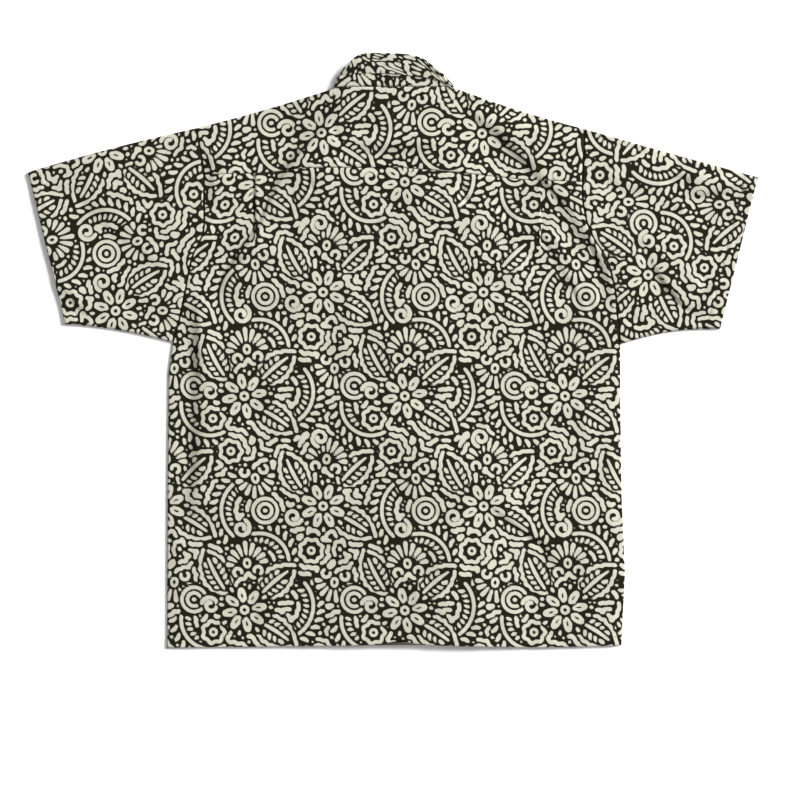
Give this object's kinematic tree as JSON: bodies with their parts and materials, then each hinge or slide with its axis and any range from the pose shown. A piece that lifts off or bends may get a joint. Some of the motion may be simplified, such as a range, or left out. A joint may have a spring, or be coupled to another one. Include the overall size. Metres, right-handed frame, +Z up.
{
  "type": "short-sleeve shirt laid flat",
  "caption": "Boxy short-sleeve button-front shirt with a turned-down collar, a back yoke and back pleats, laid flat on its front with its back up.",
  "frame": {"origin": "centre of the bounding box in X and Y, on the surface that the shirt lies on", "axes": "+Z up from the surface, +Y from the hem towards the collar, +X towards the right cuff of the back view (the wearer's right sleeve)"},
  "size_m": [0.984, 0.8002, 0.013],
  "materials": {
    "printed_cotton": "matt printed plain weave in olive black and pale cream green",
    "button_resin": "dark satin resin"
  },
  "bodies": {
    "root": {"back_panel": "printed_cotton", "back_yoke": "printed_cotton", "front_left": "printed_cotton", "front_right": "printed_cotton", "sleeve_left": "printed_cotton", "sleeve_right": "printed_cotton", "collar": "printed_cotton", "button_1": "button_resin", "button_2": "button_resin", "button_3": "button_resin", "button_4": "button_resin", "button_5": "button_resin", "button_6": "button_resin"}
  },
  "joints": []
}
